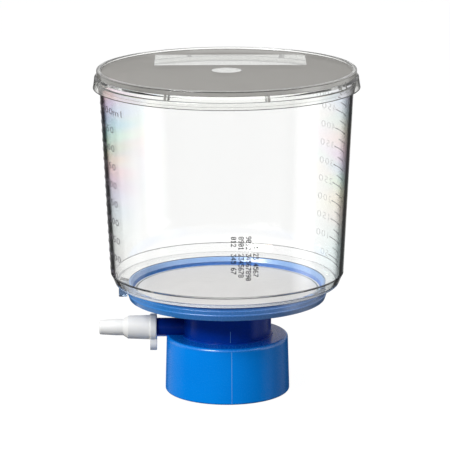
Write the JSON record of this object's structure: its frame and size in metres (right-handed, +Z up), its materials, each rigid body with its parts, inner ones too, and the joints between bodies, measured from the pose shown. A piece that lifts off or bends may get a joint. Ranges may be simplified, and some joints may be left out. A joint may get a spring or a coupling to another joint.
{
  "type": "vacuum filtration unit",
  "caption": "Bottle-top vacuum filter: clear graduated chamber with a vented lid over a membrane dish, a threaded collar for a bottle neck and a side arm with a hose adapter.",
  "frame": {"origin": "centre of the collar's bottom rim, which is also the bottom centre of the whole unit's box", "axes": "+Z up along the unit's axis, -X along the side arm towards the hose nipple"},
  "size_m": [0.1058, 0.1058, 0.1313],
  "materials": {
    "blue_plastic": "moulded, satin gloss",
    "gasket_rubber": "smooth silicone",
    "support_plastic": "moulded, matt",
    "membrane_film": "fine matt film",
    "clear_plastic": "clear, polished",
    "frosted_plastic": "clear with a frosted top",
    "white_plastic": "moulded, satin",
    "cotton": "packed cotton fibre"
  },
  "bodies": {
    "filter": {"base": "blue_plastic", "neck_gasket": "gasket_rubber", "membrane_support": "support_plastic", "membrane": "membrane_film", "chamber": "clear_plastic", "cotton_plug": "cotton"},
    "lid": {"lid": "frosted_plastic"},
    "adapter": {"hose_adapter": "white_plastic"}
  },
  "joints": [
    {"name": "lid_lift", "type": "slide", "parent": "filter", "child": "lid", "axis": [0, 0, 1], "range_m": [0, 0.05]},
    {"name": "adapter_pull", "type": "slide", "parent": "filter", "child": "adapter", "axis": [-1, 0, 0], "range_m": [0, 0.015]}
  ]
}
